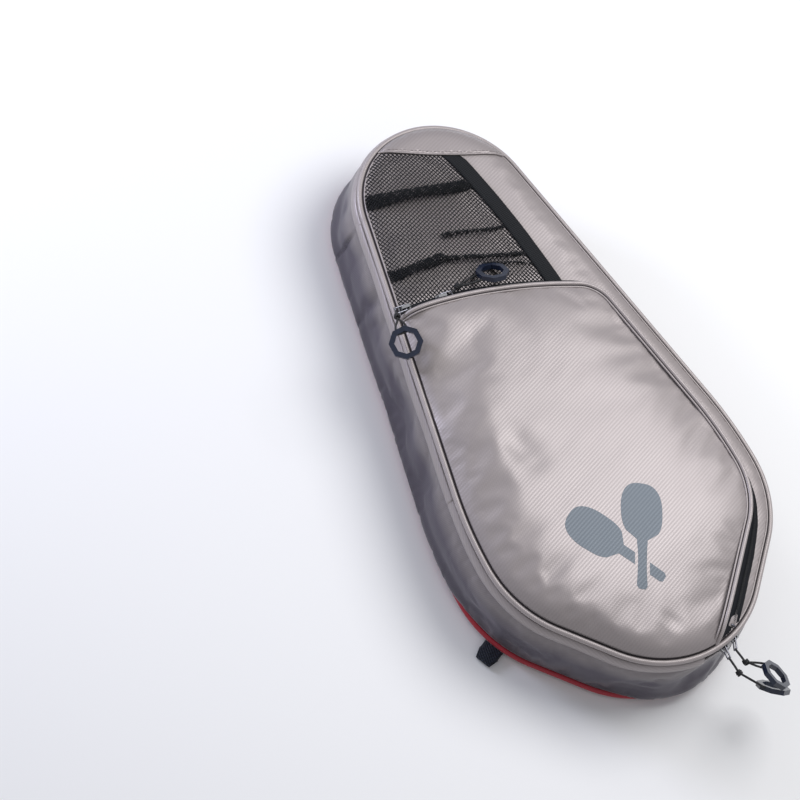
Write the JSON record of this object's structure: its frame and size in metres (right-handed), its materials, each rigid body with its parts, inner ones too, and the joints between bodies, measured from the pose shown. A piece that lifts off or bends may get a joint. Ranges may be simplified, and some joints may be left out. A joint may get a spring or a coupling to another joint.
{
  "type": "paddle case",
  "caption": "Teardrop padded paddle case with a zipped fold-back lid, a large zipped front pocket, a mesh slip pocket and corded zip pullers.",
  "frame": {"origin": "middle of the flat back face, halfway along its length", "axes": "+Z towards the front face, +Y along the case's long axis towards the narrow end, +X towards the zip side"},
  "size_m": [0.2689, 0.5452, 0.0948],
  "materials": {
    "front_fabric": "fine diagonal weave with a metallic sheen",
    "gusset_fabric": "smooth coated weave",
    "light_piping": "coated piping, satin",
    "red_piping": "coated piping, satin",
    "black_mesh": "open knitted mesh",
    "black_binding": "ribbed woven binding",
    "black_webbing": "woven webbing",
    "zip_tape": "woven tape",
    "zip_coil": "moulded coil, satin",
    "lining": "smooth lining",
    "foam": "closed cell padding",
    "slider_metal": "black enamel, worn bright at edges",
    "wire_metal": "bright wire",
    "cord": "braided cord",
    "grip_rubber": "glossy moulded rubber"
  },
  "bodies": {
    "shell": {"back_panel": "gusset_fabric", "back_foam": "foam", "back_lining": "lining", "back_piping": "red_piping", "gusset_wall": "gusset_fabric", "gusset_lining": "lining", "gusset_hinge_strip": "gusset_fabric", "webbing_tab": "black_webbing", "main_zip_lower_tape": "zip_tape", "main_zip_lower_coil": "zip_coil", "main_zip_stops": "wire_metal"},
    "lid": {"front_lining": "lining", "front_foam": "foam", "front_panel": "front_fabric", "front_piping": "light_piping", "main_zip_upper_tape": "zip_tape", "main_zip_upper_coil": "zip_coil", "top_cap": "front_fabric", "mesh_panel": "black_mesh", "mesh_binding": "black_binding", "pocket_panel": "front_fabric", "pocket_zip_outer_tape": "zip_tape", "pocket_zip_outer_coil": "zip_coil", "pocket_zip_stops": "wire_metal"},
    "flap": {"pocket_flap": "front_fabric", "pocket_piping": "light_piping", "pocket_zip_inner_tape": "zip_tape", "pocket_zip_inner_coil": "zip_coil"},
    "main_slider_1": {"main_slider_1": "slider_metal"},
    "main_puller_1": {"main_pull_wire_1": "wire_metal", "main_pull_cord_1": "cord", "main_grip_1": "grip_rubber"},
    "main_slider_2": {"main_slider_2": "slider_metal"},
    "main_puller_2": {"main_pull_wire_2": "wire_metal", "main_pull_cord_2": "cord", "main_grip_2": "grip_rubber"},
    "pocket_slider_1": {"pocket_slider_1": "slider_metal"},
    "pocket_puller_1": {"pocket_pull_wire_1": "wire_metal", "pocket_pull_cord_1": "cord", "pocket_grip_1": "grip_rubber"},
    "pocket_slider_2": {"pocket_slider_2": "slider_metal"},
    "pocket_puller_2": {"pocket_pull_wire_2": "wire_metal", "pocket_pull_cord_2": "cord", "pocket_grip_2": "grip_rubber"}
  },
  "joints": [
    {"name": "lid_fold", "type": "hinge", "parent": "shell", "child": "lid", "pos_m": [-0.09891, 0.06853, 0.067], "axis": [-0.1977, -0.9803, 0], "range_deg": [0, 120]},
    {"name": "flap_fold", "type": "hinge", "parent": "lid", "child": "flap", "pos_m": [-0.03748, -0.07335, 0.0868], "axis": [0.2877, -0.9577, 0], "range_deg": [0, 70]},
    {"name": "main_slider_1_travel", "type": "hinge", "parent": "shell", "child": "main_slider_1", "pos_m": [0, -0.151, 0.063], "axis": [0, 0, 1], "range_deg": [-7, 0]},
    {"name": "main_puller_1_swing", "type": "hinge", "parent": "main_slider_1", "child": "main_puller_1", "pos_m": [0.02153, -0.24579, 0.063], "axis": [0, 0, 1], "range_deg": [-50, 0]},
    {"name": "main_slider_2_travel", "type": "hinge", "parent": "shell", "child": "main_slider_2", "pos_m": [0, -0.151, 0.063], "axis": [0, 0, 1], "range_deg": [0, 22]},
    {"name": "main_puller_2_swing", "type": "hinge", "parent": "main_slider_2", "child": "main_puller_2", "pos_m": [0.0334, -0.24228, 0.063], "axis": [0, 0, 1], "range_deg": [0, 50]},
    {"name": "pocket_slider_1_travel", "type": "hinge", "parent": "lid", "child": "pocket_slider_1", "pos_m": [-0.091, -0.3256, 0.077], "axis": [0, 0, 1], "range_deg": [-1, 0]},
    {"name": "pocket_puller_1_lift", "type": "hinge", "parent": "pocket_slider_1", "child": "pocket_puller_1", "pos_m": [-0.08432, 0.09995, 0.0798], "axis": [0.0157, 0.9999, 0], "range_deg": [0, 40]},
    {"name": "pocket_slider_2_travel", "type": "hinge", "parent": "lid", "child": "pocket_slider_2", "pos_m": [-0.091, -0.3256, 0.077], "axis": [0, 0, 1], "range_deg": [-10.5, 0]},
    {"name": "pocket_puller_2_lift", "type": "hinge", "parent": "pocket_slider_2", "child": "pocket_puller_2", "pos_m": [-0.05095, 0.09811, 0.0798], "axis": [-0.0941, -0.9956, 0], "range_deg": [0, 100]}
  ]
}
